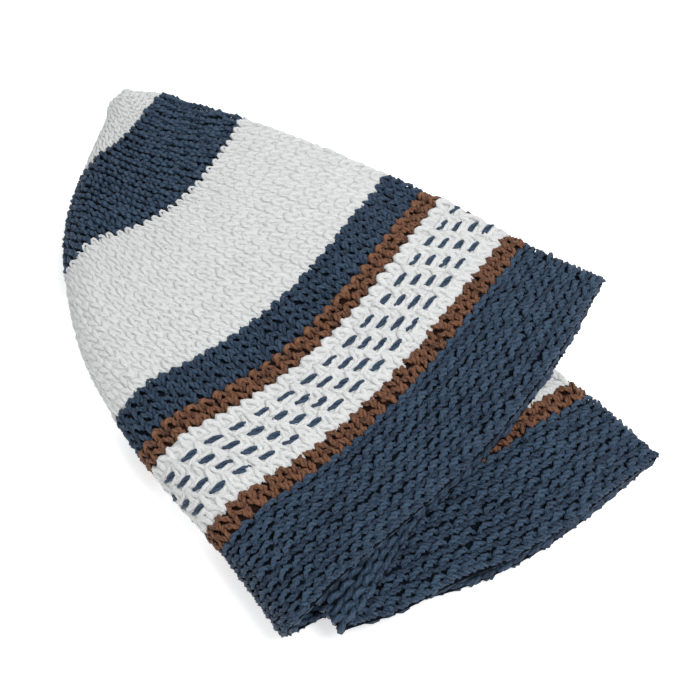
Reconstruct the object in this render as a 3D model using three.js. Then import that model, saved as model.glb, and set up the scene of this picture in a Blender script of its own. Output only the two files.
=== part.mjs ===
// A crocheted kufi, a tall brimless cap, lying flat and folded twice into four layers.
//
// Across the cap, the fold is on the -X side and the two creases are on the +X side. The rim, with
// the open mouth, faces -Y, the tip of the crown +Y. The fold turns the cap back under itself, so
// the lower pair of layers fans out from the rim's end of the fold. Each pair is a flat pocket.
// The origin is on the flat underside, below the middle of the wide band.

import * as THREE from 'three';

// Overall sizes, in millimetres
const HAT_LENGTH = 178; // rim to tip, as folded
const UPPER_WIDTH = 154; // rim of the upper pair, from the fold to its crease
const LOWER_WIDTH = 127; // rim of the lower pair, from the fold to its crease
const FAN_ANGLE = 24.5; // degrees that the lower pair is turned clockwise under the upper one

// Fabric and the spaces that it leaves
const WALL = 2.8; // thickness of the crochet
const POCKET = 5.2; // clear height inside a pair of layers
const CREASE_POCKET = 0.9; // clear height left inside a pair where it is creased
const PAIR_GAP = 0.6; // between the upper and the lower pair at the fold
const FOLD_BULGE = 3; // how much further the mouth stands open at the fold
const CREASE_TAPER = 24; // width over which a pair thins down to its crease
const OVERHANG_DROP = 5; // how far the upper crease sinks where it hangs past the lower pair
const FULL_OVERHANG = 40; // width of overhang that sinks that far
const BAND_GAP = 0.4; // between two bands of yarn
const RIM_SLIP = 9; // how far the inner fold slips out of the mouth
const SLIP_WIDTH = 42; // width over which that slip fades into the layers
const LOWER_BOW = 1.3; // how much more the lower pair's rounds hang than the upper pair's

// Points worked out along a round of the fabric
const ARM_STEPS = 9;
const TURN_STEPS = 8;
const CREASE_STEPS = 4;
const TIP_STEPS = 3;
const HALVINGS = 24;


// Sections from the rim to the tip. along is a share of HAT_LENGTH. fold is the place of the fold's
// outer edge and upper the width of the upper pair, both shares of UPPER_WIDTH. lower is the width
// of the lower pair, a share of LOWER_WIDTH. bow is how far a round hangs towards the rim between
// fold and crease, and rise how far it climbs towards the tip beside the fold, both shares of
// HAT_LENGTH. skew is above 1 where the upper pair's round hangs lowest beyond its middle, and
// below 1 where it does so before it. puff is a share of POCKET.
const SECTIONS = [
  { along: 0.0, fold: 0.0, upper: 1.0, lower: 1.0, bow: 0.044, skew: 1.05, rise: 0.0, puff: 1.0 },
  { along: 0.159, fold: 0.044, upper: 0.921, lower: 0.974, bow: 0.036, skew: 0.74, rise: 0.015, puff: 1.0 },
  { along: 0.334, fold: 0.076, upper: 0.867, lower: 0.932, bow: 0.05, skew: 0.76, rise: 0.018, puff: 1.0 },
  { along: 0.448, fold: 0.11, upper: 0.807, lower: 0.877, bow: 0.048, skew: 0.82, rise: 0.017, puff: 1.0 },
  { along: 0.6, fold: 0.177, upper: 0.7, lower: 0.77, bow: 0.054, skew: 0.84, rise: 0.012, puff: 1.0 },
  { along: 0.74, fold: 0.28, upper: 0.552, lower: 0.609, bow: 0.059, skew: 0.83, rise: 0.001, puff: 0.95 },
  { along: 0.84, fold: 0.375, upper: 0.42, lower: 0.45, bow: 0.042, skew: 0.8, rise: -0.012, puff: 0.8 },
  { along: 0.915, fold: 0.49, upper: 0.281, lower: 0.291, bow: 0.018, skew: 0.76, rise: -0.022, puff: 0.6 },
  { along: 0.968, fold: 0.655, upper: 0.105, lower: 0.115, bow: 0.008, skew: 1.0, rise: 0.0, puff: 0.4 },
];

// Bands of yarn from the crown to the rim, with the shares of HAT_LENGTH where each starts and ends
const BANDS = [
  { name: 'crown_centre', from: 0.915, to: 0.968, steps: 3, yarn: 'white', tip: true },
  { name: 'crown_ring', from: 0.74, to: 0.915, steps: 6, yarn: 'blue' },
  { name: 'white_band', from: 0.448, to: 0.74, steps: 7, yarn: 'white' },
  { name: 'upper_blue_band', from: 0.372, to: 0.448, steps: 2, yarn: 'blue' },
  { name: 'upper_brown_stripe', from: 0.334, to: 0.372, steps: 2, yarn: 'brown' },
  { name: 'openwork_band', from: 0.192, to: 0.334, steps: 4, yarn: 'white' },
  { name: 'lower_brown_stripe', from: 0.159, to: 0.192, steps: 1, yarn: 'brown' },
  { name: 'rim_band', from: 0.0, to: 0.159, steps: 5, yarn: 'blue' },
];

const YARNS = {
  white: { color: 0xe3e4e4, roughness: 0.8 },
  blue: { color: 0x374e69, roughness: 0.75 },
  brown: { color: 0x734830, roughness: 0.7 },
};

const MOUTH_END = 0.42; // share of HAT_LENGTH where the mouth's own shape has faded out
const LOWER_SKEW = 0.85; // the skew of the lower pair's rounds
const RISE_FADE = 3; // power by which the rise beside the fold fades
const FOLD_SOFT = 0.06; // share of a layer's width over which its rounds bend into the fold

const HALF_TURN = Math.PI;
const FAN = THREE.MathUtils.degToRad(FAN_ANGLE);
const HALF_WALL = WALL / 2;
const CREASE_HALF = (CREASE_POCKET + WALL) / 2;

// Smooth step from 0 to 1
function ease(share) {
  return THREE.MathUtils.smoothstep(share, 0, 1);
}

// A column of SECTIONS at a place along the cap, on a smooth curve through its rows
function column(name, along) {
  const last = SECTIONS.length - 1;
  const slope = (i) => (SECTIONS[i + 1][name] - SECTIONS[i][name])
    / (SECTIONS[i + 1].along - SECTIONS[i].along);
  const tangent = (i) => {
    if (i === 0) return slope(0);
    if (i === last) return slope(last - 1);
    return (slope(i - 1) + slope(i)) / 2;
  };
  let i = 0;
  while (i < last - 1 && SECTIONS[i + 1].along <= along) i += 1;
  const width = SECTIONS[i + 1].along - SECTIONS[i].along;
  const s = (along - SECTIONS[i].along) / width;
  const start = (1 + 2 * s) * (1 - s) ** 2 * SECTIONS[i][name];
  const startBend = s * (1 - s) ** 2 * width * tangent(i);
  const end = s * s * (3 - 2 * s) * SECTIONS[i + 1][name];
  const endBend = s * s * (s - 1) * width * tangent(i + 1);
  return start + startBend + end + endBend;
}

// Sizes of one section. half is the distance from the middle of a pocket to the middle of its
// wall, turn the radius of the fold at the middle of the pocket.
function sectionAt(along) {
  const half = (POCKET * column('puff', along) + WALL) / 2;
  const turn = half + HALF_WALL + PAIR_GAP / 2;
  const bulge = FOLD_BULGE * ease(1 - along / MOUTH_END);
  const foldEdge = turn + half + HALF_WALL + bulge;
  const creaseEdge = CREASE_HALF + HALF_WALL;
  return {
    along,
    half,
    turn,
    bulge,
    foldX: UPPER_WIDTH * column('fold', along) + foldEdge,
    y: HAT_LENGTH * along,
    upperArm: UPPER_WIDTH * column('upper', along) - foldEdge - creaseEdge,
    lowerArm: LOWER_WIDTH * column('lower', along) - foldEdge - creaseEdge,
    bow: HAT_LENGTH * column('bow', along),
    slip: RIM_SLIP * ease(1 - along / MOUTH_END),
    skew: column('skew', along),
    rise: HAT_LENGTH * column('rise', along),
  };
}

// Half height of a pocket, which thins down to its crease
function halfAt(section, arm, d) {
  const crease = Math.min(section.half, CREASE_HALF);
  return THREE.MathUtils.lerp(crease, section.half, ease((arm - d) / Math.min(CREASE_TAPER, arm)));
}

// Where the lower crease lies across the cap, beside a place along it
function lowerCreaseX(y) {
  const creaseAt = (along) => {
    const section = sectionAt(along);
    const arm = section.lowerArm;
    return { x: section.foldX + arm * Math.cos(FAN), y: section.y - arm * Math.sin(FAN) };
  };
  let low = SECTIONS[0].along;
  let high = SECTIONS[SECTIONS.length - 1].along;
  for (let i = 0; i < HALVINGS; i += 1) {
    const middle = (low + high) / 2;
    if (creaseAt(middle).y < y) low = middle;
    else high = middle;
  }
  return creaseAt(high).x;
}

// How far the upper pair has sunk where it hangs past the lower crease
function overhangDrop(section, d) {
  const edge = lowerCreaseX(section.y) - section.foldX;
  const overhang = section.upperArm - edge;
  const start = Math.max(0, edge - CREASE_TAPER / 2);
  const share = ease((d - start) / (section.upperArm - start)) * ease(overhang / FULL_OVERHANG);
  return share * OVERHANG_DROP;
}

// The line midway between the two walls of the pockets, from the upper crease round the fold to
// the lower crease. d runs across from the fold, z up, and nd, nz point to the outer layer. fan is
// the share of FAN_ANGLE that this stretch is turned by.
function spineOf(section) {
  const spine = [];
  const lowZ = section.half + HALF_WALL;
  const middleZ = lowZ + section.turn;
  for (let i = 0; i < ARM_STEPS; i += 1) {
    const d = section.upperArm * (1 + Math.cos(HALF_TURN * i / ARM_STEPS)) / 2;
    const half = halfAt(section, section.upperArm, d);
    const z = middleZ + section.turn - overhangDrop(section, d);
    spine.push({ d, z, nd: 0, nz: 1, half, bulge: 0, fan: 0, share: d / section.upperArm });
  }
  for (let i = 0; i <= TURN_STEPS; i += 1) {
    const angle = HALF_TURN * i / TURN_STEPS;
    const nd = -Math.sin(angle);
    const nz = Math.cos(angle);
    spine.push({
      d: section.turn * nd, z: middleZ + section.turn * nz, nd, nz,
      half: section.half, bulge: section.bulge * nd * nd, fan: i / TURN_STEPS, share: 0,
    });
  }
  for (let i = 1; i <= ARM_STEPS; i += 1) {
    const d = section.lowerArm * (1 - Math.cos(HALF_TURN * i / ARM_STEPS)) / 2;
    const half = halfAt(section, section.lowerArm, d);
    spine.push({
      d, z: half + HALF_WALL, nd: 0, nz: -1, half, bulge: 0, fan: 1, share: d / section.lowerArm,
    });
  }
  return spine;
}

// The share of the way from the fold to a crease, which sets off slowly from the fold
function softShare(share) {
  return (Math.hypot(share, FOLD_SOFT) - FOLD_SOFT) / (Math.hypot(1, FOLD_SOFT) - FOLD_SOFT);
}

// A point of the fabric in space. ahead moves it along the cap towards the tip.
function place(section, station, d, z, slip, ahead) {
  const angle = FAN * station.fan;
  const bow = section.bow * THREE.MathUtils.lerp(1, LOWER_BOW, station.fan);
  const skew = THREE.MathUtils.lerp(section.skew, LOWER_SKEW, station.fan);
  const share = softShare(station.share);
  const hang = bow * Math.sin(HALF_TURN * share ** skew) - section.rise * (1 - share) ** RISE_FADE;
  const up = ahead - hang;
  const x = section.foldX + d * Math.cos(angle) + up * Math.sin(angle);
  const y = section.y - d * Math.sin(angle) + up * Math.cos(angle) - slip;
  return new THREE.Vector3(x, y, z);
}

// One round of the fabric on its outside (side 1) or on its pocket side (side -1), as a closed loop:
// the outer layers from the upper to the lower crease, that crease, the inner layers back, and the
// upper crease. close shrinks it onto its spine, as at the tip of the crown.
function roundOf(section, side, close = 0) {
  const spine = spineOf(section);
  const shrink = Math.cos(HALF_TURN / 2 * close);
  const reach = Math.sin(HALF_TURN / 2 * close);
  const ahead = (section.half + side * HALF_WALL) * reach;
  const offset = (station) => (station.half + side * HALF_WALL) * shrink;
  const outer = spine.map((s) => {
    const off = offset(s) + s.bulge;
    return place(section, s, s.d + off * s.nd, s.z + off * s.nz, 0, ahead);
  });
  const inner = spine.map((s) => {
    const off = offset(s);
    const slip = section.slip * ease(1 - Math.max(0, s.d) / SLIP_WIDTH);
    return place(section, s, s.d - off * s.nd, s.z - off * s.nz, slip, ahead);
  });
  const crease = (s) => {
    const points = [];
    for (let i = 1; i < CREASE_STEPS; i += 1) {
      const angle = HALF_TURN * i / CREASE_STEPS;
      const off = offset(s);
      points.push(place(section, s, s.d + off * Math.sin(angle), s.z + off * s.nz * Math.cos(angle),
        0, ahead));
    }
    return points;
  };
  const upperCrease = crease(spine[0]).reverse();
  const lowerCrease = crease(spine[spine.length - 1]);
  return [...outer, ...lowerCrease, ...inner.reverse(), ...upperCrease];
}

// A closed mesh from quads, with shared points joined and collapsed triangles left out
class Skin {
  constructor() {
    this.points = [];
    this.known = new Map();
    this.index = [];
  }

  point(v) {
    const key = v.toArray().map((n) => Math.round(n * 1e4)).join(' ');
    if (!this.known.has(key)) {
      this.known.set(key, this.points.length);
      this.points.push(v);
    }
    return this.known.get(key);
  }

  triangle(a, b, c) {
    const corners = [this.point(a), this.point(b), this.point(c)];
    if (new Set(corners).size === 3) this.index.push(...corners);
  }

  strip(loopA, loopB) {
    loopA.forEach((a, i) => {
      const next = (i + 1) % loopA.length;
      this.triangle(a, loopB[i], loopB[next]);
      this.triangle(a, loopB[next], loopA[next]);
    });
  }

  geometry() {
    const volume = this.index.reduce((sum, corner, i) => {
      if (i % 3 !== 0) return sum;
      const [a, b, c] = [0, 1, 2].map((k) => this.points[this.index[i + k]]);
      return sum + a.dot(new THREE.Vector3().crossVectors(b, c));
    }, 0);
    const index = volume > 0 ? this.index : [...this.index].reverse();
    const geometry = new THREE.BufferGeometry();
    geometry.setAttribute('position', new THREE.Float32BufferAttribute(
      this.points.flatMap((p) => p.toArray()), 3));
    geometry.setIndex(index);
    geometry.computeVertexNormals();
    return geometry;
  }
}

// The places along the cap where a band's rounds are worked out
function stationsOf(band) {
  const inset = BAND_GAP / 2 / HAT_LENGTH;
  const start = band.from > 0 ? band.from + inset : band.from;
  const end = band.tip ? band.to : band.to - inset;
  const stations = [];
  for (let i = 0; i <= band.steps; i += 1) {
    stations.push({ along: THREE.MathUtils.lerp(start, end, i / band.steps), close: 0 });
  }
  for (let i = 1; band.tip && i <= TIP_STEPS; i += 1) {
    stations.push({ along: end, close: i / TIP_STEPS });
  }
  return stations;
}

function bandMesh(band) {
  const skin = new Skin();
  const stations = stationsOf(band);
  const roundsOn = (side) => stations.map((s) => roundOf(sectionAt(s.along), side, s.close));
  const outside = roundsOn(1);
  const pocket = roundsOn(-1);
  const last = stations.length - 1;
  for (let i = 0; i < last; i += 1) {
    skin.strip(outside[i], outside[i + 1]);
    skin.strip(pocket[i + 1], pocket[i]);
  }
  skin.strip(pocket[0], outside[0]);
  if (!band.tip) skin.strip(outside[last], pocket[last]);
  const yarn = YARNS[band.yarn];
  const material = new THREE.MeshStandardMaterial({ ...yarn, metalness: 0 });
  const mesh = new THREE.Mesh(skin.geometry(), material);
  mesh.name = band.name;
  return mesh;
}

// The middle of the lower layer's underside, halfway along the wide band
function restPoint() {
  const band = BANDS.find((b) => b.name === 'white_band');
  const section = sectionAt((band.from + band.to) / 2);
  const station = { fan: 1, share: 0.5 };
  return place(section, station, section.lowerArm * station.share, 0, 0, 0);
}

const kufi = new THREE.Group();
BANDS.forEach((band) => kufi.add(bandMesh(band)));
kufi.position.copy(restPoint()).negate();

export default kufi;
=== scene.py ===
"""A crocheted kufi lying folded in quarters on a pale table.

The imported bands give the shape. Each is replaced by a thin ground layer and by its own crochet, made
of swept strands of yarn: two legs to a plain stitch, two lobes to a rim stitch, a wrapped edge at the
mouth, beads in the crown's ring with the white band's hooks over them, oval tips on the upper brown
stripe, and an openwork mesh with blue yarn carried through it.
Lengths are in millimetres until they become mesh points. Along the cap, t runs from 0 at the rim to
the tip. Round the cap, u runs from 0 at the outer fold through the upper crease, the inner fold and
the lower crease to 1.
"""

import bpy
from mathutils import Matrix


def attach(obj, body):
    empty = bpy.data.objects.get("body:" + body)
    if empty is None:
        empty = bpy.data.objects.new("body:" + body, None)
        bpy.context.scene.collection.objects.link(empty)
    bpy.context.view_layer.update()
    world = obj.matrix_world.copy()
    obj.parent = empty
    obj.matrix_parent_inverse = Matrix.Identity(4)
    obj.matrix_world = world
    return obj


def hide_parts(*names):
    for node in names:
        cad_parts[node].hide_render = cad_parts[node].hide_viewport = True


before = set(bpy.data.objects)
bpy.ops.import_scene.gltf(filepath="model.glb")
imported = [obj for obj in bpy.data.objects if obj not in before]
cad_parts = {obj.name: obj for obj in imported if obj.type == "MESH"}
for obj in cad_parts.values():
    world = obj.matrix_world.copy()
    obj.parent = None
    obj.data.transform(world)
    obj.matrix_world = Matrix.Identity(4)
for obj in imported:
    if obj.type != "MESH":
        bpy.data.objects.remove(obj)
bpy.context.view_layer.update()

import math

import bpy
import numpy as np
from mathutils import Vector

MM = 0.001

# Sizes of the folded cap, as in its solid model
HAT_LENGTH = 178.0
UPPER_WIDTH = 154.0
LOWER_WIDTH = 127.0
FAN_ANGLE = 24.5
WALL = 2.8
POCKET = 5.2
CREASE_POCKET = 0.9
PAIR_GAP = 0.6
FOLD_BULGE = 3.0
CREASE_TAPER = 24.0
OVERHANG_DROP = 5.0
FULL_OVERHANG = 40.0
RIM_SLIP = 9.0
SLIP_WIDTH = 42.0
LOWER_BOW = 1.3
LOWER_SKEW = 0.85
MOUTH_END = 0.42
RISE_FADE = 3.0
FOLD_SOFT = 0.06
FAN = math.radians(FAN_ANGLE)
HALF_WALL = WALL / 2
CREASE_HALF = (CREASE_POCKET + WALL) / 2
HALVINGS = 24

# Sections along the cap. All but the last are as in the solid model, which is a little wider at its
# closed end than the photo shows.
COLUMNS = ("along", "fold", "upper", "lower", "bow", "skew", "rise", "puff")
SECTIONS = np.array([
    (0.0, 0.0, 1.0, 1.0, 0.044, 1.05, 0.0, 1.0),
    (0.159, 0.044, 0.921, 0.974, 0.036, 0.74, 0.015, 1.0),
    (0.334, 0.076, 0.867, 0.932, 0.05, 0.76, 0.018, 1.0),
    (0.448, 0.11, 0.807, 0.877, 0.048, 0.82, 0.017, 1.0),
    (0.6, 0.177, 0.7, 0.77, 0.054, 0.84, 0.012, 1.0),
    (0.74, 0.28, 0.552, 0.609, 0.059, 0.83, 0.001, 0.95),
    (0.84, 0.375, 0.42, 0.45, 0.042, 0.8, -0.012, 0.8),
    (0.915, 0.49, 0.281, 0.291, 0.018, 0.76, -0.022, 0.6),
    (0.972, 0.655, 0.084, 0.09, 0.008, 1.0, 0.0, 0.35),
])
TIP_T = HAT_LENGTH * SECTIONS[-1, 0]
TIP_LENGTH = 3.8  # how far t still runs over the closed end of the crown
CLOSED_T = TIP_T + 0.85 * TIP_LENGTH  # where the last round of stitches ends
REST_ALONG = (0.448 + 0.74) / 2

# Points of the fabric's grid
GRID_STEP = 1.0
GRID_COLUMNS = 1024
TIP_ROWS = 8
ARM_POINTS = 60
TURN_POINTS = 24
CREASE_POINTS = 10

# Where each band ends, along the cap, and its rounds of stitches
RIM_TOP = HAT_LENGTH * 0.159
BROWN_FOOT = RIM_TOP - 0.8  # its stitches reach under the rim's last round
LOWER_BROWN_TOP = HAT_LENGTH * 0.192
OPENWORK_TOP = HAT_LENGTH * 0.334
UPPER_BROWN_TOP = HAT_LENGTH * 0.372
BLUE_TOP = HAT_LENGTH * 0.448
WHITE_TOP = HAT_LENGTH * 0.74
RING_TOP = HAT_LENGTH * 0.915

# How many stitches a round has, by the place along the cap
STITCH_T = (0.0, 79.0, 131.0, 144.5, 154.0, 163.0, TIP_T, TIP_T + TIP_LENGTH)
STITCH_COUNT = (111, 111, 106, 95, 80, 56, 20, 9)
# How far the columns of stitches lean round the cap, for each millimetre towards the rim
LEAN_T = (0.0, 30.0, 79.0, 95.0, 128.0, 132.0, TIP_T + TIP_LENGTH)
LEAN = (0.04, 0.04, 0.05, 0.16, 0.20, 0.38, 0.38)
FIRST_STITCH = 0.25  # where each round starts before it leans, as a share of the way round
# How much wider the stitches lie at the creases than at the folds, as a share
SPREAD_T = (0.0, 79.0, 131.0, 160.0)
SPREAD = (0.07, 0.09, 0.13, 0.18)

SEED = 7
RNG = np.random.default_rng(SEED)


def ease(share):
    s = np.clip(share, 0.0, 1.0)
    return s * s * (3 - 2 * s)


def column(name, along):
    """A column of SECTIONS on a smooth curve through its rows."""
    places = SECTIONS[:, 0]
    values = SECTIONS[:, COLUMNS.index(name)]
    slopes = np.diff(values) / np.diff(places)
    tangents = np.concatenate([slopes[:1], (slopes[:-1] + slopes[1:]) / 2, slopes[-1:]])
    i = int(np.clip(np.searchsorted(places, along, side="right") - 1, 0, len(places) - 2))
    width = places[i + 1] - places[i]
    s = (along - places[i]) / width
    start = (1 + 2 * s) * (1 - s) ** 2 * values[i] + s * (1 - s) ** 2 * width * tangents[i]
    end = s * s * (3 - 2 * s) * values[i + 1] + s * s * (s - 1) * width * tangents[i + 1]
    return start + end


def section_at(along):
    half = (POCKET * column("puff", along) + WALL) / 2
    turn = half + HALF_WALL + PAIR_GAP / 2
    mouth = ease(1 - along / MOUTH_END)
    fold_edge = turn + half + HALF_WALL + FOLD_BULGE * mouth
    crease_edge = CREASE_HALF + HALF_WALL
    return {
        "half": half,
        "turn": turn,
        "bulge": FOLD_BULGE * mouth,
        "fold_x": UPPER_WIDTH * column("fold", along) + fold_edge,
        "y": HAT_LENGTH * along,
        "upper_arm": UPPER_WIDTH * column("upper", along) - fold_edge - crease_edge,
        "lower_arm": LOWER_WIDTH * column("lower", along) - fold_edge - crease_edge,
        "bow": HAT_LENGTH * column("bow", along),
        "skew": column("skew", along),
        "slip": RIM_SLIP * mouth,
        "rise": HAT_LENGTH * column("rise", along),
    }


def half_at(section, arm, d):
    """Half height of a pocket, which thins down to its crease."""
    crease = min(section["half"], CREASE_HALF)
    return crease + (section["half"] - crease) * ease((arm - d) / min(CREASE_TAPER, arm))


def lower_crease_x(y):
    """Where the lower crease lies across the cap, beside a place along it."""
    def crease_at(along):
        section = section_at(along)
        arm = section["lower_arm"]
        return section["fold_x"] + arm * math.cos(FAN), section["y"] - arm * math.sin(FAN)

    low, high = SECTIONS[0, 0], SECTIONS[-1, 0]
    for _ in range(HALVINGS):
        middle = (low + high) / 2
        if crease_at(middle)[1] < y:
            low = middle
        else:
            high = middle
    return crease_at(high)[0]


def overhang_drop(section, d):
    """How far the upper pair has sunk where it hangs past the lower crease."""
    edge = lower_crease_x(section["y"]) - section["fold_x"]
    overhang = section["upper_arm"] - edge
    start = max(0.0, edge - CREASE_TAPER / 2)
    past = ease((d - start) / (section["upper_arm"] - start))
    return past * ease(overhang / FULL_OVERHANG) * OVERHANG_DROP


def spine_of(section):
    """The line midway between the walls of the pockets, from the upper to the lower crease."""
    low_z = section["half"] + HALF_WALL
    middle_z = low_z + section["turn"]
    swing = math.pi * np.arange(ARM_POINTS) / ARM_POINTS
    upper = section["upper_arm"] * (1 + np.cos(swing)) / 2
    angle = math.pi * np.arange(TURN_POINTS + 1) / TURN_POINTS
    lower = section["lower_arm"] * (1 - np.cos(math.pi * np.arange(1, ARM_POINTS + 1) / ARM_POINTS)) / 2
    upper_half = half_at(section, section["upper_arm"], upper)
    lower_half = half_at(section, section["lower_arm"], lower)
    upper_z = middle_z + section["turn"] - overhang_drop(section, upper)
    turn_z = middle_z + section["turn"] * np.cos(angle)

    def joined(first, second, third):
        return np.concatenate([first + 0 * upper, second + 0 * angle, third + 0 * lower])

    return {
        "d": joined(upper, -section["turn"] * np.sin(angle), lower),
        "z": joined(upper_z, turn_z, lower_half + HALF_WALL),
        "nd": joined(0, -np.sin(angle), 0),
        "nz": joined(1, np.cos(angle), -1),
        "half": joined(upper_half, section["half"], lower_half),
        "bulge": joined(0, section["bulge"] * np.sin(angle) ** 2, 0),
        "fan": joined(0, angle / math.pi, 1),
        "share": joined(upper / section["upper_arm"], 0, lower / section["lower_arm"]),
    }


def place(section, fan, share, d, z, slip, ahead):
    """Points of the fabric in the cap's own frame."""
    angle = FAN * fan
    bow = section["bow"] * (1 + (LOWER_BOW - 1) * fan)
    skew = section["skew"] + (LOWER_SKEW - section["skew"]) * fan
    soft = (np.hypot(share, FOLD_SOFT) - FOLD_SOFT) / (math.hypot(1, FOLD_SOFT) - FOLD_SOFT)
    hang = bow * np.sin(math.pi * soft ** skew) - section["rise"] * (1 - soft) ** RISE_FADE
    up = ahead - hang
    x = section["fold_x"] + d * np.cos(angle) + up * np.sin(angle)
    y = section["y"] - d * np.sin(angle) + up * np.cos(angle) - slip
    return np.stack([x, y, z + 0 * x], -1)


def round_of(along, side, close):
    """One round of the fabric as a closed loop, from its upper crease over the outer layers."""
    section = section_at(along)
    spine = spine_of(section)
    shrink = math.cos(math.pi / 2 * close)
    ahead = (section["half"] + side * HALF_WALL) * math.sin(math.pi / 2 * close)
    off = (spine["half"] + side * HALF_WALL) * shrink
    out = off + spine["bulge"]
    outer = place(section, spine["fan"], spine["share"], spine["d"] + out * spine["nd"],
                  spine["z"] + out * spine["nz"], 0, ahead)
    slip = section["slip"] * ease(1 - np.maximum(0, spine["d"]) / SLIP_WIDTH)
    inner = place(section, spine["fan"], spine["share"], spine["d"] - off * spine["nd"],
                  spine["z"] - off * spine["nz"], slip, ahead)
    angle = math.pi * np.arange(1, CREASE_POINTS) / CREASE_POINTS

    def crease(k):
        d = spine["d"][k] + off[k] * np.sin(angle)
        z = spine["z"][k] + off[k] * spine["nz"][k] * np.cos(angle)
        return place(section, spine["fan"][k], spine["share"][k], d, z, 0, ahead)

    return np.concatenate([outer, crease(-1), inner[::-1], crease(0)[::-1]])


def resampled(loop, start, lengths, wanted):
    """Points of a closed loop at shares of its length, counted from one of its points backwards."""
    at = (lengths[start] - wanted * lengths[-1]) % lengths[-1]
    closed = np.vstack([loop, loop[:1]])
    return np.stack([np.interp(at, lengths, closed[:, k]) for k in range(3)], -1)


def make_grid():
    """Points midway through the fabric, and how they move for each millimetre outwards."""
    shares = np.arange(GRID_COLUMNS) / GRID_COLUMNS
    rows = [(t, 0.0) for t in np.arange(0.0, TIP_T, GRID_STEP)] + [(TIP_T, 0.0)]
    rows += [(TIP_T, (i + 1) / TIP_ROWS) for i in range(TIP_ROWS)]
    places, middles, lifts, girths = [], [], [], []
    for t, close in rows:
        middle = round_of(t / HAT_LENGTH, 0.0, close)
        outside = round_of(t / HAT_LENGTH, 1.0, close)
        steps = np.linalg.norm(np.diff(np.vstack([middle, middle[:1]]), axis=0), axis=1)
        lengths = np.concatenate([[0.0], np.cumsum(steps)])
        fold = ARM_POINTS + TURN_POINTS // 2
        middles.append(resampled(middle, fold, lengths, shares))
        lifts.append(resampled(outside, fold, lengths, shares) - middles[-1])
        places.append(t + close * TIP_LENGTH)
        girths.append(lengths[-1])
    rest = place(section_at(REST_ALONG), 1.0, 0.5, section_at(REST_ALONG)["lower_arm"] / 2, 0.0, 0, 0)
    return np.array(places), np.array(middles) - rest, np.array(lifts) / HALF_WALL, np.array(girths)


GRID_T, GRID_MIDDLE, GRID_LIFT, GIRTHS = make_grid()


def on_fabric(u, t, n):
    """Points of the fabric, and the way outwards there. n is the distance out from its middle."""
    u, t, n = np.broadcast_arrays(u, t, n)
    row = np.interp(t, GRID_T, np.arange(len(GRID_T))) + np.minimum(t, 0) / GRID_STEP
    i = np.clip(np.floor(row).astype(int), 0, len(GRID_T) - 2)
    down = (row - i)[..., None]
    col = (u % 1.0) * GRID_COLUMNS
    j = np.floor(col).astype(int) % GRID_COLUMNS
    across = (col - np.floor(col))[..., None]
    beside = (j + 1) % GRID_COLUMNS

    def blend(grid):
        low = grid[i, j] * (1 - across) + grid[i, beside] * across
        high = grid[i + 1, j] * (1 - across) + grid[i + 1, beside] * across
        return low * (1 - down) + high * down

    lift = blend(GRID_LIFT)
    return blend(GRID_MIDDLE) + n[..., None] * lift, lift


def girth_at(t):
    return np.interp(t, GRID_T, GIRTHS)


def lean_rate(t):
    """The lean at a place along the cap, as a share of the way round for each millimetre."""
    return np.interp(t, LEAN_T, LEAN) / girth_at(t)


def lean_at(t):
    """How far round the cap a column of stitches has leaned at a place along it, as a share."""
    steps = np.arange(0.0, GRID_T[-1] + GRID_STEP, GRID_STEP)
    turned = np.concatenate([[0.0], np.cumsum(lean_rate(steps[:-1])) * GRID_STEP])
    return -np.interp(t, steps, turned)


def spread(u, t):
    """Moves a place round the cap, so that stitches lie wider at the creases than at the folds."""
    return u - np.interp(t, SPREAD_T, SPREAD) * np.sin(4 * math.pi * u) / (4 * math.pi)


def widened(u, t):
    """How wide a stitch lies at a place, as a share of the mean of its round."""
    return 1 - np.interp(t, SPREAD_T, SPREAD) * np.cos(4 * math.pi * u)


def unit(v):
    return v / np.maximum(np.linalg.norm(v, axis=-1, keepdims=True), 1e-9)


PLY_PITCH = 4.2  # length of yarn in which its plies wind once round each other
PLY_OFFSET = 0.53  # of the strand's half size, from its middle to a ply's middle
PLY_SIZE = 0.57  # of the strand's half size
END_ROUNDING = 0.25  # how far a strand's end bulges past its last ring


def frame_along(path, lift, closed):
    """The ways ahead, across and up at each point of each strand."""
    ahead = np.roll(path, -1, 1) - np.roll(path, 1, 1) if closed else np.gradient(path, axis=1)
    ahead = unit(ahead)
    across = unit(np.cross(lift, ahead))
    return ahead, across, np.cross(ahead, across)


def gone_along(path):
    """The length of each strand up to each of its points."""
    steps = np.linalg.norm(np.diff(path, axis=1), axis=2)
    return np.concatenate([np.zeros((len(path), 1)), np.cumsum(steps, 1)], 1)


def link_piece(name, mesh, material):
    mesh.materials.append(material)
    piece = bpy.data.objects.new(name, mesh)
    bpy.context.scene.collection.objects.link(piece)
    return piece


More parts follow.
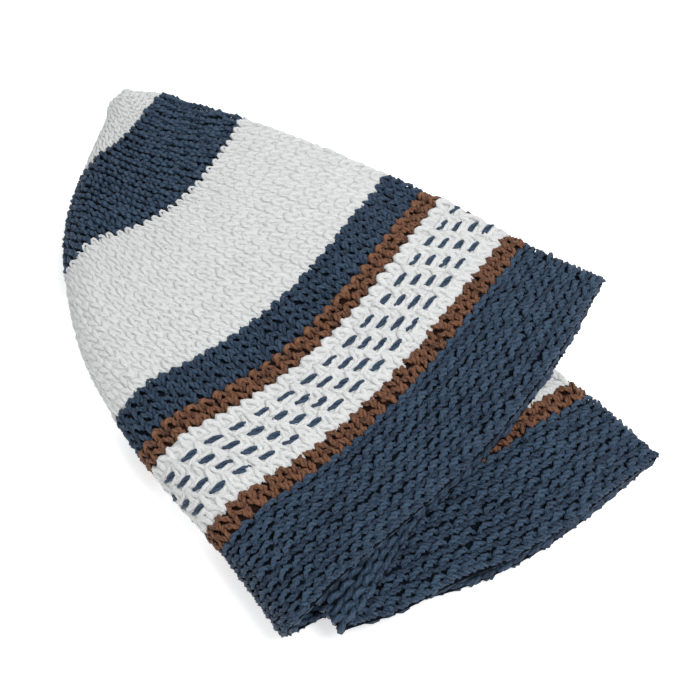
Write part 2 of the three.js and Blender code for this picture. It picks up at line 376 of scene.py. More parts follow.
class Yarn:
    """Swept strands of yarn, gathered into one mesh."""

    def __init__(self):
        self.points, self.faces, self.uvs, self.tones_and_painted_light = [], [], [], []
        self.count = 0

    def sweep(self, path, lift, wide, thick, tone_and_painted_light, sides=6, closed=False):
        """Sweeps oval sections along paths. path is strands by points by 3, in millimetres."""
        strands, length = path.shape[:2]
        _, across, up = frame_along(path, lift, closed)
        turn = 2 * math.pi * np.arange(sides) / sides
        wide = np.broadcast_to(wide, (strands, length))[..., None, None]
        thick = np.broadcast_to(thick, (strands, length))[..., None, None]
        rings = (path[:, :, None] + across[:, :, None] * (np.cos(turn)[:, None] * wide)
                 + up[:, :, None] * (np.sin(turn)[:, None] * thick))
        gone = gone_along(path)
        base = self.count + np.arange(strands)[:, None, None] * (length * sides)
        spans = length if closed else length - 1
        k, m = np.meshgrid(np.arange(spans), np.arange(sides), indexing="ij")
        k2, m2 = (k + 1) % length, (m + 1) % sides
        quad = np.stack([k * sides + m, k * sides + m2, k2 * sides + m2, k2 * sides + m], -1)
        quads = (base + quad.reshape(-1, 4)[None]).reshape(-1, 4)
        along = np.stack([gone[:, k], gone[:, k], gone[:, np.minimum(k + 1, length - 1)],
                          gone[:, np.minimum(k + 1, length - 1)]], -1)
        around = np.stack([m, m + 1, m + 1, m], -1) / sides
        uv = np.stack([along, np.broadcast_to(around, along.shape)], -1).reshape(-1, 4, 2)
        self.points.append(rings.reshape(-1, 3))
        self.faces.append(quads)
        self.uvs.append(uv)
        tone_and_painted_light = np.broadcast_to(tone_and_painted_light, (strands, length))
        self.tones_and_painted_light.append(np.repeat(tone_and_painted_light.ravel(), sides))
        self.count += strands * length * sides
        if not closed:
            self.cap(path, gone, tone_and_painted_light, base, sides, 0)
            self.cap(path, gone, tone_and_painted_light, base, sides, length - 1)

    def ply(self, path, lift, wide, thick, tone_and_painted_light, sides=4, closed=False, angle=None):
        """Sweeps each strand as two plies that wind round each other."""
        if angle is None:
            starts = RNG.uniform(0.0, 2 * math.pi, (len(path), 1))
            angle = starts + 2 * math.pi * gone_along(path) / PLY_PITCH
        _, across, up = frame_along(path, lift, closed)
        for half_turn in (0.0, math.pi):
            aside = (PLY_OFFSET * wide * np.cos(angle + half_turn))[..., None] * across
            above = (PLY_OFFSET * thick * np.sin(angle + half_turn))[..., None] * up
            self.sweep(path + aside + above, lift, PLY_SIZE * wide, PLY_SIZE * thick, tone_and_painted_light, sides, closed)

    def cap(self, path, gone, tone_and_painted_light, base, sides, end):
        """Closes one end of each strand with a fan of triangles."""
        strands = len(path)
        towards = path[:, end] - path[:, 1 if end == 0 else end - 1]
        tip = path[:, end] + unit(towards) * END_ROUNDING
        hub = self.count + np.arange(strands)
        m = np.arange(sides)
        ring = base[:, :, 0] + end * sides + m[None]
        after = base[:, :, 0] + end * sides + ((m + 1) % sides)[None]
        first, second = (after, ring) if end == 0 else (ring, after)
        fan = np.stack([first, second, np.broadcast_to(hub[:, None], first.shape)], -1)
        self.points.append(tip)
        self.faces.append(fan.reshape(-1, 3))
        at = np.broadcast_to(gone[:, end, None, None], (strands, sides, 3))
        self.uvs.append(np.stack([at, np.zeros_like(at)], -1).reshape(-1, 3, 2))
        self.tones_and_painted_light.append(tone_and_painted_light[:, end])
        self.count += strands

    def build(self, name, material):
        points = np.concatenate(self.points) * MM
        mesh = bpy.data.meshes.new(name)
        sizes = np.concatenate([np.full(len(f), f.shape[1]) for f in self.faces])
        corners = np.concatenate([f.ravel() for f in self.faces])
        mesh.vertices.add(len(points))
        mesh.vertices.foreach_set("co", points.ravel())
        mesh.loops.add(len(corners))
        mesh.loops.foreach_set("vertex_index", corners)
        mesh.polygons.add(len(sizes))
        mesh.polygons.foreach_set("loop_start", np.concatenate([[0], np.cumsum(sizes)[:-1]]))
        mesh.polygons.foreach_set("loop_total", sizes)
        mesh.polygons.foreach_set("use_smooth", np.ones(len(sizes), bool))
        uv = mesh.uv_layers.new(name="yarn")
        uv.data.foreach_set("uv", np.concatenate([u.reshape(-1, 2) for u in self.uvs]).ravel())
        # This level per point holds each stitch's random tone together with its painted highlight and
        # shade.
        tone_and_painted_light = mesh.attributes.new("tone_and_painted_light", "FLOAT", "POINT")
        tone_and_painted_light.data.foreach_set("value", np.concatenate(self.tones_and_painted_light).astype(np.float32))
        mesh.update(calc_edges=True)
        mesh.validate()
        return link_piece(name, mesh, material)


# Each strand of a stitch is a table with these columns. across is in stitch widths and up in round
# heights from the rim's side of the round. out is millimetres from the middle of the fabric, wide and
# thick are the strand's half sizes in millimetres, and the last is how much paler the yarn is painted
# there: painted highlight where the strand rises, painted shade where it dives into the fabric.
STRAND = ("across", "up", "out", "wide", "thick", "painted_light")

# Plain stitch: a straight leg and an arched one, whose shared tip lies over the round above
STRAIGHT_LEG = (
    (0.45, 1.34, 0.25, 0.30, 0.30, 0.6),
    (0.40, 1.12, 1.05, 0.72, 0.60, 0.7),
    (0.33, 0.80, 1.20, 0.88, 0.70, 0.5),
    (0.29, 0.45, 1.05, 0.90, 0.72, 0.4),
    (0.30, 0.12, 0.50, 0.75, 0.60, 0.3),
    (0.36, -0.14, -0.30, 0.40, 0.40, 0.1),
)
ARCHED_LEG = (
    (0.43, 1.28, 0.35, 0.35, 0.30, 0.6),
    (0.55, 1.08, 1.10, 0.74, 0.60, 0.7),
    (0.76, 0.86, 1.25, 0.88, 0.72, 0.6),
    (0.96, 0.52, 1.15, 0.92, 0.74, 0.5),
    (1.00, 0.16, 0.60, 0.80, 0.60, 0.3),
    (0.92, -0.10, -0.30, 0.40, 0.40, 0.1),
)

# Rim stitch: two strands that lie along the round, one above the other
HIGH_LOBE = (
    (-0.12, 0.30, -0.10, 0.55, 0.45, 0.2),
    (0.04, 0.50, 0.95, 1.00, 0.70, 0.5),
    (0.32, 0.68, 1.25, 1.25, 0.82, 0.7),
    (0.64, 0.76, 1.25, 1.22, 0.82, 0.7),
    (0.90, 0.66, 0.90, 1.00, 0.66, 0.5),
    (1.06, 0.46, -0.20, 0.55, 0.45, 0.2),
)
LOW_LOBE = (
    (0.22, 0.40, 0.30, 0.60, 0.50, 0.0),
    (0.40, 0.26, 0.95, 0.95, 0.66, 0.2),
    (0.70, 0.14, 1.05, 1.10, 0.76, 0.4),
    (1.02, 0.10, 1.05, 1.10, 0.76, 0.4),
    (1.30, 0.18, 0.95, 1.00, 0.66, 0.2),
    (1.52, 0.36, 0.40, 0.70, 0.50, 0.0),
)
# Edge stitch: a strand that wraps over the edge of the rim
EDGE_WRAP = (
    (-0.20, 0.42, 0.90, 0.45, 0.40, 0.3),
    (0.04, 0.32, 1.25, 0.85, 0.70, 0.5),
    (0.32, 0.25, 0.95, 0.95, 0.85, 0.6),
    (0.62, 0.23, 0.05, 0.95, 0.90, 0.6),
    (0.92, 0.27, -0.85, 0.90, 0.75, 0.4),
    (1.20, 0.40, -1.00, 0.50, 0.50, 0.3),
)

# Oval tip of the brown stripe's last round
OVAL_TIP = (
    (0.14, 0.80, 0.60, 0.30, 0.30, 0.5),
    (0.24, 0.87, 1.25, 0.70, 0.60, 0.8),
    (0.38, 0.95, 1.45, 0.92, 0.72, 1.1),
    (0.56, 1.02, 1.45, 0.92, 0.72, 1.1),
    (0.73, 1.06, 1.10, 0.62, 0.55, 0.8),
    (0.86, 1.04, 0.40, 0.30, 0.30, 0.5),
)

# Hook of the white band's last round, which lies over the crown's ring
HOOK = (
    (0.10, 0.80, 0.90, 0.55, 0.50, 0.5),
    (0.14, 1.08, 1.50, 0.68, 0.58, 0.6),
    (0.34, 1.28, 1.85, 0.78, 0.62, 0.6),
    (0.58, 1.20, 1.80, 0.78, 0.62, 0.6),
    (0.68, 0.96, 1.35, 0.62, 0.55, 0.5),
    (0.68, 0.74, 0.80, 0.50, 0.45, 0.5),
)

# Crown stitch: one bead that slants across its column
BEAD = (
    (0.34, 1.18, 0.00, 0.50, 0.30, 0.1),
    (0.39, 1.00, 0.85, 1.30, 0.70, 0.3),
    (0.46, 0.72, 1.30, 1.86, 0.98, 0.6),
    (0.54, 0.42, 1.30, 1.86, 0.98, 0.6),
    (0.61, 0.14, 0.75, 1.30, 0.70, 0.3),
    (0.66, -0.02, -0.10, 0.50, 0.30, 0.1),
)

# Mesh stitch of the openwork, two stitches wide, with its opening in the middle. Three strands stand
# between one opening and the next, and two lie along the round above and below the opening.
MESH_LEFT = (
    (-0.03, 1.14, 0.20, 0.50, 0.40, 0.5),
    (-0.06, 0.92, 1.00, 0.75, 0.60, 0.5),
    (-0.11, 0.60, 1.35, 0.80, 0.70, 0.5),
    (-0.14, 0.30, 1.25, 0.80, 0.70, 0.5),
    (-0.19, 0.02, 0.90, 0.75, 0.60, 0.4),
    (-0.26, -0.22, 0.10, 0.45, 0.40, 0.3),
)
MESH_MIDDLE = (
    (0.00, 1.18, 0.20, 0.50, 0.40, 0.5),
    (0.00, 0.90, 1.10, 0.80, 0.65, 0.5),
    (0.01, 0.56, 1.35, 0.90, 0.72, 0.6),
    (0.00, 0.24, 1.20, 0.90, 0.70, 0.5),
    (-0.02, -0.04, 0.80, 0.75, 0.60, 0.4),
    (-0.03, -0.26, 0.10, 0.45, 0.40, 0.3),
)
MESH_RIGHT = (
    (0.03, 1.12, 0.20, 0.50, 0.40, 0.5),
    (0.07, 0.90, 1.00, 0.75, 0.60, 0.5),
    (0.12, 0.62, 1.35, 0.80, 0.70, 0.5),
    (0.15, 0.34, 1.25, 0.80, 0.70, 0.5),
    (0.20, 0.06, 0.90, 0.75, 0.60, 0.4),
    (0.28, -0.16, 0.10, 0.45, 0.40, 0.3),
)
MESH_ABOVE = (
    (0.16, 0.98, 0.20, 0.45, 0.40, 0.4),
    (0.28, 0.92, 0.90, 0.72, 0.60, 0.5),
    (0.42, 0.88, 1.10, 0.80, 0.65, 0.5),
    (0.58, 0.87, 1.10, 0.80, 0.65, 0.5),
    (0.72, 0.90, 0.90, 0.72, 0.60, 0.5),
    (0.84, 0.98, 0.20, 0.45, 0.40, 0.4),
)
MESH_BELOW = (
    (0.16, 0.10, 0.20, 0.45, 0.40, 0.4),
    (0.28, 0.14, 0.80, 0.72, 0.60, 0.5),
    (0.42, 0.12, 1.00, 0.80, 0.65, 0.5),
    (0.58, 0.13, 1.00, 0.80, 0.65, 0.5),
    (0.72, 0.18, 0.80, 0.72, 0.60, 0.5),
    (0.84, 0.14, 0.20, 0.45, 0.40, 0.4),
)

FLAT_OUT = 0.95  # where a stitch without relief lies
TONE_SPREAD = 0.12
SIZE_SPREAD = 0.05
WIDEST_STITCH = 4.3  # stitches narrower than this, in millimetres, have thinner strands
WOBBLE = 0.25  # how far the rounds stray from even, in millimetres
WOBBLE_WAVES = (3, 7, 12)
WOBBLE_DRIFT = 9.0  # millimetres along the cap in which the unevenness moves on by one radian
WOBBLE_START = 6.0  # the rim's edge stays even, and the unevenness is full this far from it
WOBBLE_PHASES = RNG.uniform(0.0, 2 * math.pi, (len(WOBBLE_WAVES), 2))[:, 0]


def smooth_rows(table, rings):
    """A strand's table on a smooth curve, at an even number of rings."""
    rows = np.array(table)
    at = np.linspace(0, len(rows) - 1, rings)
    i = np.clip(at.astype(int), 0, len(rows) - 2)
    s = (at - i)[:, None]
    slopes = np.gradient(rows, axis=0)
    start = (1 + 2 * s) * (1 - s) ** 2 * rows[i] + s * (1 - s) ** 2 * slopes[i]
    return start + s * s * (3 - 2 * s) * rows[i + 1] + s * s * (s - 1) * slopes[i + 1]


def wobble(u, t):
    """A slow unevenness of the rounds, which closes on itself round the cap."""
    total = np.zeros(np.broadcast(u, t).shape)
    for wave, phase in zip(WOBBLE_WAVES, WOBBLE_PHASES):
        total = total + np.sin(2 * math.pi * wave * u + phase + t / WOBBLE_DRIFT) / len(WOBBLE_WAVES)
    return WOBBLE * total


def stitches_at(t):
    return int(round(np.interp(t, STITCH_T, STITCH_COUNT)))


def work(yarn, table, t, height, count, jitter=0.05, lumps=0.06, size=1.0, rings=7, sides=6, side=1,
         relief=1.0, bright=(0, 0), turn=0.0, plied=False):
    """Works one strand of every stitch in a round.

    side is -1 on the pocket's side of the fabric. relief under 1 makes the round flatter. bright
    makes the tip and the foot of a stitch paler: a highlight painted on that end. turn moves the whole
    round, as a share of the way round.
    plied makes each strand of two plies.
    """
    strand = smooth_rows(table, rings)
    across, up, out, wide, thick, painted_light = (strand[None, :, k] for k in range(len(STRAND)))
    shift = RNG.normal(0.0, jitter, (count, 1, 2))
    bend = RNG.normal(0.0, jitter / 2, (count, rings, 2))
    out = (relief * out + (1 - relief) * FLAT_OUT) * side + RNG.normal(0.0, jitter * 2, (count, 1))
    swell = 1 + RNG.normal(0.0, SIZE_SPREAD, (count, 1)) + RNG.normal(0.0, lumps, (count, rings))
    across = across + shift[:, :, 0] + bend[:, :, 0]
    up = up + shift[:, :, 1] + bend[:, :, 1]
    start = FIRST_STITCH + lean_at(t) + turn + np.arange(count) / count
    u = start[:, None] + across / count - up * height * lean_rate(t + height / 2)
    place_t = t + up * height
    u = spread(u, place_t)
    path, lift = on_fabric(u, place_t + wobble(u, place_t) * ease(place_t / WOBBLE_START), out)
    # The strand's last column paints highlight on its raised parts and shade where it dives, and the pair
    # for the tip and the foot paints a highlight on that end; only the random spread is the stitch's own
    # tone.
    tone_and_painted_light = painted_light + RNG.normal(0.0, TONE_SPREAD, (count, 1)) + bright[0] * ease(up) + bright[1] * ease(1 - up)
    width = girth_at(min(t + height / 2, TIP_T)) / count
    narrow = min(width / WIDEST_STITCH, 1.0)
    wide = wide * swell * size * narrow * widened(u, place_t)
    thick = thick * swell * size * (1 + narrow) / 2
    make = yarn.ply if plied else yarn.sweep
    make(path, lift * side, wide, thick, tone_and_painted_light, sides)


def rounds_of(low, high, heights):
    """The start and height of each round of a band. heights are shares that fill the band."""
    shares = np.array(heights) / sum(heights)
    starts = low + (high - low) * np.concatenate([[0.0], np.cumsum(shares)[:-1]])
    return list(zip(starts, (high - low) * shares))


def plain_rounds(yarn, rounds, strands, **choices):
    for t, height in rounds:
        for table in strands:
            work(yarn, table, t, height, stitches_at(t + height / 2), **choices)


def ground(name, low, high, material, outer, inner=-0.5, step=3.0, columns=200):
    """A thin closed layer of the fabric under its stitches."""
    rows = max(2, int(round((high - low) / step)) + 1)
    t = np.linspace(low, high, rows)
    u = np.arange(columns) / columns
    outside, _ = on_fabric(u[None], t[:, None], np.full((rows, columns), outer))
    inside, _ = on_fabric(u[None], t[:, None], np.full((rows, columns), inner))
    points = np.concatenate([outside.reshape(-1, 3), inside.reshape(-1, 3)]) * MM
    j = np.arange(columns)
    beside = (j + 1) % columns
    row = columns * np.arange(rows - 1)[:, None]
    above = row + columns
    skin = np.stack([row + j, row + beside, above + beside, above + j], -1).reshape(-1, 4)
    within = rows * columns
    back = skin[:, ::-1] + within
    end = (rows - 1) * columns
    first = np.stack([j, j + within, beside + within, beside], -1)
    last = np.stack([end + j, end + beside, end + beside + within, end + j + within], -1)
    faces = np.concatenate([skin, back, first, last])
    mesh = bpy.data.meshes.new(name)
    mesh.from_pydata(points.tolist(), [], faces.tolist())
    mesh.polygons.foreach_set("use_smooth", np.ones(len(faces), bool))
    mesh.update()
    mesh.validate()
    return link_piece(name, mesh, material)


def node(tree, kind, **values):
    made = tree.nodes.new(kind)
    for key, value in values.items():
        setattr(made, key, value)
    return made


def noise_of(tree, scale, detail):
    """Noise in the piece's own coordinates."""
    place_node = node(tree, "ShaderNodeTexCoord")
    noise = node(tree, "ShaderNodeTexNoise")
    noise.inputs["Scale"].default_value = scale
    noise.inputs["Detail"].default_value = detail
    tree.links.new(place_node.outputs["Object"], noise.inputs["Vector"])
    return noise.outputs[0]


def twist(tree, parts, length, lines):
    """A wave that winds round the strand, from 0 to 1."""
    along = node(tree, "ShaderNodeMath", operation="MULTIPLY")
    tree.links.new(parts.outputs[0], along.inputs[0])
    along.inputs[1].default_value = 2 * math.pi / length
    around = node(tree, "ShaderNodeMath", operation="MULTIPLY_ADD")
    tree.links.new(parts.outputs[1], around.inputs[0])
    around.inputs[1].default_value = 2 * math.pi * lines
    tree.links.new(along.outputs[0], around.inputs[2])
    wave = node(tree, "ShaderNodeMath", operation="SINE")
    tree.links.new(around.outputs[0], wave.inputs[0])
    level = node(tree, "ShaderNodeMapRange")
    level.inputs[1].default_value = -1.0
    level.inputs[2].default_value = 1.0
    tree.links.new(wave.outputs[0], level.inputs[0])
    return level.outputs[0]


def weighed(tree, levels, weights):
    """The sum of levels, each with its own weight."""
    total = node(tree, "ShaderNodeMath", operation="MULTIPLY")
    tree.links.new(levels[0], total.inputs[0])
    total.inputs[1].default_value = weights[0]
    for level, weight in zip(levels[1:], weights[1:]):
        added = node(tree, "ShaderNodeMath", operation="MULTIPLY_ADD")
        tree.links.new(level, added.inputs[0])
        added.inputs[1].default_value = weight
        tree.links.new(total.outputs[0], added.inputs[2])
        total = added
    return total.outputs[0]


def colour_by(tree, shader, level, first, last, middle=None):
    """Colours the shader by a level. Each stop is a level and its colour."""
    ramp = node(tree, "ShaderNodeValToRGB")
    stops = ramp.color_ramp.elements
    for stop, (position, colour) in zip(stops, (first, last)):
        stop.position = position
        stop.color = (*colour, 1)
    if middle:
        stops.new(middle[0]).color = (*middle[1], 1)
    tree.links.new(level, ramp.inputs[0])
    tree.links.new(ramp.outputs[0], shader.inputs["Base Color"])


def roughness_by(tree, shader, level, start, end):
    rough = node(tree, "ShaderNodeMapRange")
    rough.inputs[3].default_value = start
    rough.inputs[4].default_value = end
    tree.links.new(level, rough.inputs[0])
    tree.links.new(rough.outputs[0], shader.inputs["Roughness"])


def bump_by(tree, shader, level, strength):
    bump = node(tree, "ShaderNodeBump")
    bump.inputs["Strength"].default_value = strength
    bump.inputs["Distance"].default_value = BUMP_DEPTH
    tree.links.new(level, bump.inputs["Height"])
    tree.links.new(bump.outputs[0], shader.inputs["Normal"])


BUMP_DEPTH = 0.3 * MM
YARN_BUMP = 0.9
GROUND_BUMP = 0.5
ROUGHNESS_SPREAD = 0.1
# The winding of the yarn: the length in millimetres in which it moves on by one line, and how many
# lines lie round the strand
PLY_TWIST = (2.6, 3)
THREAD_TWIST = (0.9, 10)
# Noise scales for each metre, and their detail
FIBRES = (1400.0, 4.0)
PATCHES = (60.0, 2.0)
KNOTS = (520.0, 1.0)
GROUND_FIBRES = (700.0, 4.0)
# Weights in the shade of the plies, the threads, the fibres, the stitch's own tone and the patches. The
# plies and threads darken their grooves as painted shade, and the stitch's tone holds painted highlight
# and shade as well as its random tone.
SHADE_WEIGHTS = (0.16, 0.16, 0.75, 0.4, 0.25)
# Weights of the plies, the threads, the fibres and the knots in the relief
RELIEF_WEIGHTS = (0.5, 0.25, 1.0, 1.6)
# Levels of shade at which the yarn has its dark, middle and light tones
YARN_LEVELS = (0.45, 0.72, 1.0)
GROUND_LEVELS = (0.35, 0.65)


def yarn_material(name, dark, mid, light, roughness, sheen):
    """Plied yarn: a twist along each strand, darkened in its grooves as painted shade, fibres, and levels
    that vary at random from stitch to stitch and carry painted highlight and shade.
    """
    material = bpy.data.materials.new(name)
    material.use_nodes = True
    tree = material.node_tree
    shader = tree.nodes["Principled BSDF"]
    shader.inputs["Sheen Weight"].default_value = sheen
    shader.inputs["Sheen Roughness"].default_value = 0.5
    shader.inputs["Specular IOR Level"].default_value = 0.3
    uv = node(tree, "ShaderNodeUVMap", uv_map="yarn")
    parts = node(tree, "ShaderNodeSeparateXYZ")
    tree.links.new(uv.outputs[0], parts.inputs[0])
    ply = twist(tree, parts, *PLY_TWIST)
    threads = twist(tree, parts, *THREAD_TWIST)
    fibres = noise_of(tree, *FIBRES)
    tone_and_painted_light = node(tree, "ShaderNodeAttribute", attribute_name="tone_and_painted_light").outputs["Fac"]
    # The plies and threads darken the yarn in the grooves between them: painted shade. The fibres and
    # patches are the yarn's own variation.
    shade = weighed(tree, (ply, threads, fibres, tone_and_painted_light, noise_of(tree, *PATCHES)), SHADE_WEIGHTS)
    levels = list(zip(YARN_LEVELS, (dark, mid, light)))
    colour_by(tree, shader, shade, levels[0], levels[2], levels[1])
    roughness_by(tree, shader, shade, roughness + ROUGHNESS_SPREAD, roughness - ROUGHNESS_SPREAD)
    relief = weighed(tree, (ply, threads, fibres, noise_of(tree, *KNOTS)), RELIEF_WEIGHTS)
    bump_by(tree, shader, relief, YARN_BUMP)
    return material


def ground_material(name, dark, light, roughness):
    """Yarn deep between the stitches, coloured by fibre noise; colours darker than the yarn's own are
    painted shade.
    """
    material = bpy.data.materials.new(name)
    material.use_nodes = True
    tree = material.node_tree
    shader = tree.nodes["Principled BSDF"]
    shader.inputs["Specular IOR Level"].default_value = 0.1
    fibres = noise_of(tree, *GROUND_FIBRES)
    first, last = zip(GROUND_LEVELS, (dark, light))
    colour_by(tree, shader, fibres, first, last)
    roughness_by(tree, shader, fibres, roughness - ROUGHNESS_SPREAD, min(roughness + ROUGHNESS_SPREAD, 1.0))
    bump_by(tree, shader, fibres, GROUND_BUMP)
    return material


BLUE = yarn_material("blue_yarn", dark=(0.003, 0.008, 0.02), mid=(0.014, 0.032, 0.064),
                     light=(0.042, 0.08, 0.136), roughness=0.65, sheen=0.03)
BROWN = yarn_material("brown_yarn", dark=(0.018, 0.007, 0.004), mid=(0.058, 0.023, 0.013),
                      light=(0.2, 0.085, 0.042), roughness=0.55, sheen=0.05)
WHITE = yarn_material("white_yarn", dark=(0.57, 0.58, 0.58), mid=(0.64, 0.65, 0.65),
                      light=(0.7, 0.71, 0.71), roughness=0.8, sheen=0.02)
# The blue and brown grounds are far darker than their yarn: painted shade in the pits between the stitches.
# The white ground keeps the white yarn's own colours.
BLUE_PAINTED_SHADE = ground_material("blue_painted_shade", (0.001, 0.002, 0.004), (0.004, 0.008, 0.014), 0.9)
BROWN_PAINTED_SHADE = ground_material("brown_painted_shade", (0.009, 0.004, 0.002), (0.026, 0.011, 0.007), 0.9)
WHITE_GROUND = ground_material("white_ground", (0.57, 0.58, 0.58), (0.67, 0.68, 0.68), 0.85)


def finish_piece(piece, node_name=None):
    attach(piece, "root")
    if node_name:
        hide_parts(node_name)


def make_ground(node_name, low, high, material, outer=0.35):
    finish_piece(ground(node_name + "_ground", low, high, material, outer), node_name)


def make_stitches(name, slot, material, rounds, strands, **choices):
    yarn = Yarn()
    plain_rounds(yarn, rounds, strands, **choices)
    finish_piece(yarn.build(name, material))


# The blue yarn that is carried through the openwork
CARRIED_DEPTH = 0.1  # its distance out from the middle of the fabric where it dips
CARRIED_RISE = 1.15  # how much further out it lies in an opening
CARRIED_SLANT = 0.07  # how far it strays from the middle of its round, in round heights
CARRIED_SPAN = 1.8  # more than 1 keeps it in sight for longer
CARRIED_SIZE = 0.45  # its half size where it dips
CARRIED_SWELL = 0.55  # how much wider it is in an opening
CARRIED_FLATNESS = 0.8
CARRIED_TONE = 0.5


def carried_yarn(t, height, count, shift, points_each=8, sides=5):
    """The blue yarn of one openwork round, which comes up in each opening and dips between them."""
    yarn = Yarn()
    steps = count * points_each
    cell = np.arange(steps) / points_each
    in_sight = 0.5 + 0.5 * np.cos(2 * math.pi * (cell - 0.5))
    u = FIRST_STITCH + lean_at(t) + shift + cell / count
    place_t = t + (0.5 + CARRIED_SLANT * np.sin(2 * math.pi * cell)) * height
    u = spread(u, place_t)
    shown = ease(in_sight * CARRIED_SPAN)
    out = CARRIED_DEPTH + CARRIED_RISE * shown
    path, lift = on_fabric(u, place_t + wobble(u, place_t), out)
    wide = (CARRIED_SIZE + CARRIED_SWELL * shown)[None]
    tone_and_painted_light = np.full((1, steps), CARRIED_TONE)
    yarn.ply(path[None], lift[None], wide, CARRIED_FLATNESS * wide, tone_and_painted_light, sides, closed=True,
             angle=2 * math.pi * cell[None])
    return yarn


PLAIN = (STRAIGHT_LEG, ARCHED_LEG)
RIM_STITCH = (HIGH_LOBE, LOW_LOBE)
MESH = (MESH_ABOVE, MESH_BELOW, MESH_LEFT, MESH_MIDDLE, MESH_RIGHT)

# The rim band, with its edge and the pocket's side of it
RIM_FOOT = 0.6  # where the layer under the stitches starts
RIM_FIRST_ROUND = 0.9
RIM_ROUNDS = rounds_of(RIM_FIRST_ROUND, RIM_TOP, (1,) * 7)
make_ground("rim_band", RIM_FOOT, RIM_TOP, BLUE_PAINTED_SHADE, 0.05)
make_stitches("rim_stitches", "blue_yarn", BLUE, RIM_ROUNDS, RIM_STITCH, sides=4, plied=True)
make_stitches("rim_inside", "blue_yarn", BLUE, RIM_ROUNDS, RIM_STITCH, side=-1, rings=5, sides=4)
make_stitches("rim_edge", "blue_yarn", BLUE, RIM_ROUNDS[:1], (EDGE_WRAP,), rings=9, sides=5, plied=True,
              jitter=0.03)

# The lower brown stripe
LOWER_BROWN_ROUNDS = rounds_of(BROWN_FOOT, LOWER_BROWN_TOP, (1, 1))
make_ground("lower_brown_stripe", RIM_TOP, LOWER_BROWN_TOP, BROWN_PAINTED_SHADE)
make_stitches("lower_brown_stitches", "brown_yarn", BROWN, LOWER_BROWN_ROUNDS, PLAIN, sides=4, plied=True,
              size=1.25, bright=(0, 0.8), jitter=0.08)

# The openwork, whose middle four rounds carry the blue yarn
OPEN_ROUNDS = rounds_of(LOWER_BROWN_TOP, OPENWORK_TOP, (0.95, 1, 1, 1, 1, 0.85))
MESH_COUNT = 58
MESH_SHIFT = 2.6 / 515.0  # how far each round's openings lie past those of the round above
LOW_RELIEF = {"relief": 0.35, "size": 1.25}
make_ground("openwork_band", LOWER_BROWN_TOP, OPENWORK_TOP, WHITE_GROUND, 1.1)
white = Yarn()
plain_rounds(white, [OPEN_ROUNDS[0], OPEN_ROUNDS[5]], PLAIN, **LOW_RELIEF)
for number, (t, height) in enumerate(OPEN_ROUNDS[1:5]):
    turn = (3 - number) * MESH_SHIFT
    for table in MESH:
        work(white, table, t, height, MESH_COUNT, rings=6, sides=5, turn=turn, **LOW_RELIEF)
    strand = carried_yarn(t, height, MESH_COUNT, turn)
    finish_piece(strand.build("carried_yarn_%d" % (number + 1), BLUE))
finish_piece(white.build("openwork_stitches", WHITE))

# The upper brown stripe and the blue band over it
UPPER_BROWN_ROUNDS = rounds_of(OPENWORK_TOP, UPPER_BROWN_TOP, (1, 1))
UPPER_BLUE_ROUNDS = rounds_of(UPPER_BROWN_TOP, BLUE_TOP, (1,) * 4)
make_ground("upper_brown_stripe", OPENWORK_TOP, UPPER_BROWN_TOP, BROWN_PAINTED_SHADE)
make_stitches("upper_brown_stitches", "brown_yarn", BROWN, UPPER_BROWN_ROUNDS, PLAIN, sides=4, plied=True,
              size=1.25, bright=(0.4, 0), jitter=0.08)
make_stitches("upper_brown_tips", "brown_yarn", BROWN, UPPER_BROWN_ROUNDS[1:], (OVAL_TIP,), sides=5)
make_ground("upper_blue_band", UPPER_BROWN_TOP, BLUE_TOP, BLUE_PAINTED_SHADE)
make_stitches("upper_blue_stitches", "blue_yarn", BLUE, UPPER_BLUE_ROUNDS, PLAIN, sides=4, plied=True,
              size=1.24)

# The wide white band, whose stitches are in two pieces
WHITE_ROUNDS = rounds_of(BLUE_TOP, WHITE_TOP, (1,) * 14)
make_ground("white_band", BLUE_TOP, WHITE_TOP, WHITE_GROUND, 1.15)
for name, rounds in (("white_stitches_low", WHITE_ROUNDS[:7]), ("white_stitches_high", WHITE_ROUNDS[7:])):
    make_stitches(name, "white_yarn", WHITE, rounds, PLAIN, rings=5, sides=5, relief=0.3, size=1.3)
make_stitches("white_hooks", "white_yarn", WHITE, WHITE_ROUNDS[-1:], (HOOK,), sides=5)

# The crown: its blue ring, and its centre with the closed end
RING_ROUNDS = rounds_of(WHITE_TOP, RING_TOP, (1.3, 1.15) + (1,) * 15)
CENTRE_ROUNDS = rounds_of(RING_TOP, CLOSED_T, (1,) * 7)
make_ground("crown_ring", WHITE_TOP, RING_TOP, BLUE_PAINTED_SHADE, 0.6)
make_stitches("ring_stitches", "blue_yarn", BLUE, RING_ROUNDS, (BEAD,), jitter=0.06, lumps=0.1, rings=6,
              sides=4, plied=True, size=1.08)
make_ground("crown_centre", RING_TOP, TIP_T + TIP_LENGTH, WHITE_GROUND, 0.95)
make_stitches("centre_stitches", "white_yarn", WHITE, CENTRE_ROUNDS, PLAIN, rings=5, sides=5,
              relief=0.18, size=1.3, jitter=0.03)

# The table, the light and the camera
LOOK_AT = (15.97, -25.58, 0.0)
CAMERA_AZIMUTH = -50.2
CAMERA_ELEVATION = 60.0
CAMERA_DISTANCE = 387.1
CAMERA_LENS = 61.71
WORLD_LIGHT = 0.72
FLOOR_HALF = 3.0  # metres, half the floor's side
FLOOR_DROP = 0.8  # millimetres that the floor lies below the solids, for the stitches under them
FLOOR_GLOW = 0.45  # light of the floor's own, which keeps the shadow pale


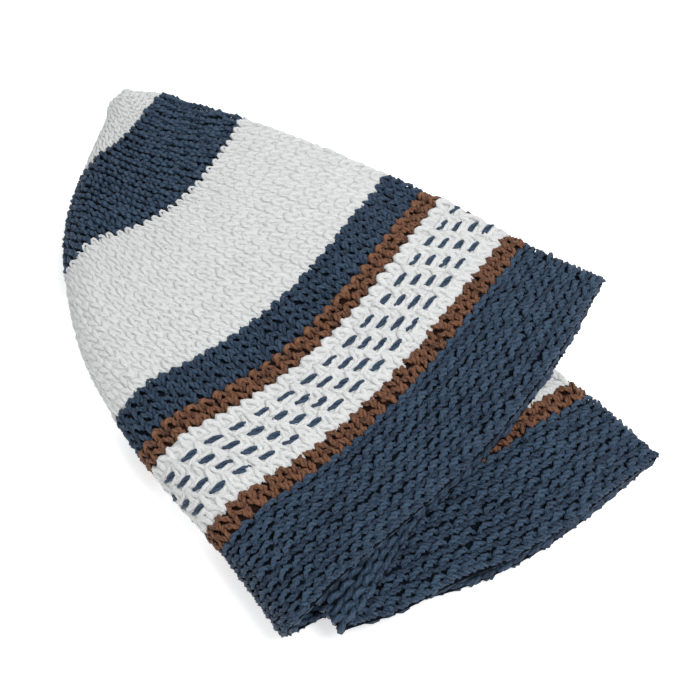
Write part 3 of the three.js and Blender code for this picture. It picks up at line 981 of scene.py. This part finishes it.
def pale_floor():
    mesh = bpy.data.meshes.new("floor")
    corners = [(x * FLOOR_HALF, y * FLOOR_HALF, 0) for x, y in ((-1, -1), (1, -1), (1, 1), (-1, 1))]
    mesh.from_pydata(corners, [], [(0, 1, 2, 3)])
    material = bpy.data.materials.new("pale_floor")
    material.use_nodes = True
    tree = material.node_tree
    shader = tree.nodes["Principled BSDF"]
    shader.inputs["Roughness"].default_value = 0.9
    shader.inputs["Emission Color"].default_value = (1, 1, 1, 1)
    shader.inputs["Emission Strength"].default_value = FLOOR_GLOW
    noise = node(tree, "ShaderNodeTexNoise")
    noise.inputs["Scale"].default_value = 4.0
    ramp = node(tree, "ShaderNodeValToRGB")
    ramp.color_ramp.elements[0].color = (0.92, 0.92, 0.92, 1)
    ramp.color_ramp.elements[1].color = (0.95, 0.95, 0.95, 1)
    tree.links.new(noise.outputs[0], ramp.inputs[0])
    tree.links.new(ramp.outputs[0], shader.inputs["Base Color"])
    floor = link_piece("floor", mesh, material)
    floor.location.z = -FLOOR_DROP * MM


def from_angle(azimuth, elevation, distance):
    a, e = math.radians(azimuth), math.radians(elevation)
    back = np.array([math.sin(a) * math.cos(e), -math.cos(a) * math.cos(e), math.sin(e)])
    return (np.array(LOOK_AT) + back * distance) * MM


def aim(obj, target):
    towards = Vector(np.array(target) * MM) - obj.location
    obj.rotation_mode = "QUATERNION"
    obj.rotation_quaternion = towards.to_track_quat("-Z", "Y")


def area_light(name, azimuth, elevation, distance, size, power):
    light = bpy.data.lights.new(name, "AREA")
    light.shape = "DISK"
    light.size = size * MM
    light.energy = power
    lamp = bpy.data.objects.new(name, light)
    bpy.context.scene.collection.objects.link(lamp)
    lamp.location = from_angle(azimuth, elevation, distance)
    aim(lamp, LOOK_AT)


def studio_world():
    world = bpy.data.worlds.new("studio")
    world.use_nodes = True
    background = world.node_tree.nodes["Background"]
    background.inputs["Color"].default_value = (1, 1, 1, 1)
    background.inputs["Strength"].default_value = WORLD_LIGHT
    bpy.context.scene.world = world


def camera():
    data = bpy.data.cameras.new("camera")
    data.sensor_width = 36.0
    data.lens = CAMERA_LENS
    data.clip_start = 0.01
    data.clip_end = 20.0
    cam = bpy.data.objects.new("camera", data)
    bpy.context.scene.collection.objects.link(cam)
    cam.location = from_angle(CAMERA_AZIMUTH, CAMERA_ELEVATION, CAMERA_DISTANCE)
    aim(cam, LOOK_AT)
    bpy.context.scene.camera = cam


pale_floor()
area_light("key", azimuth=20.0, elevation=66.0, distance=700.0, size=380.0, power=2.9)
studio_world()
bpy.context.scene.view_settings.view_transform = "Standard"
camera()
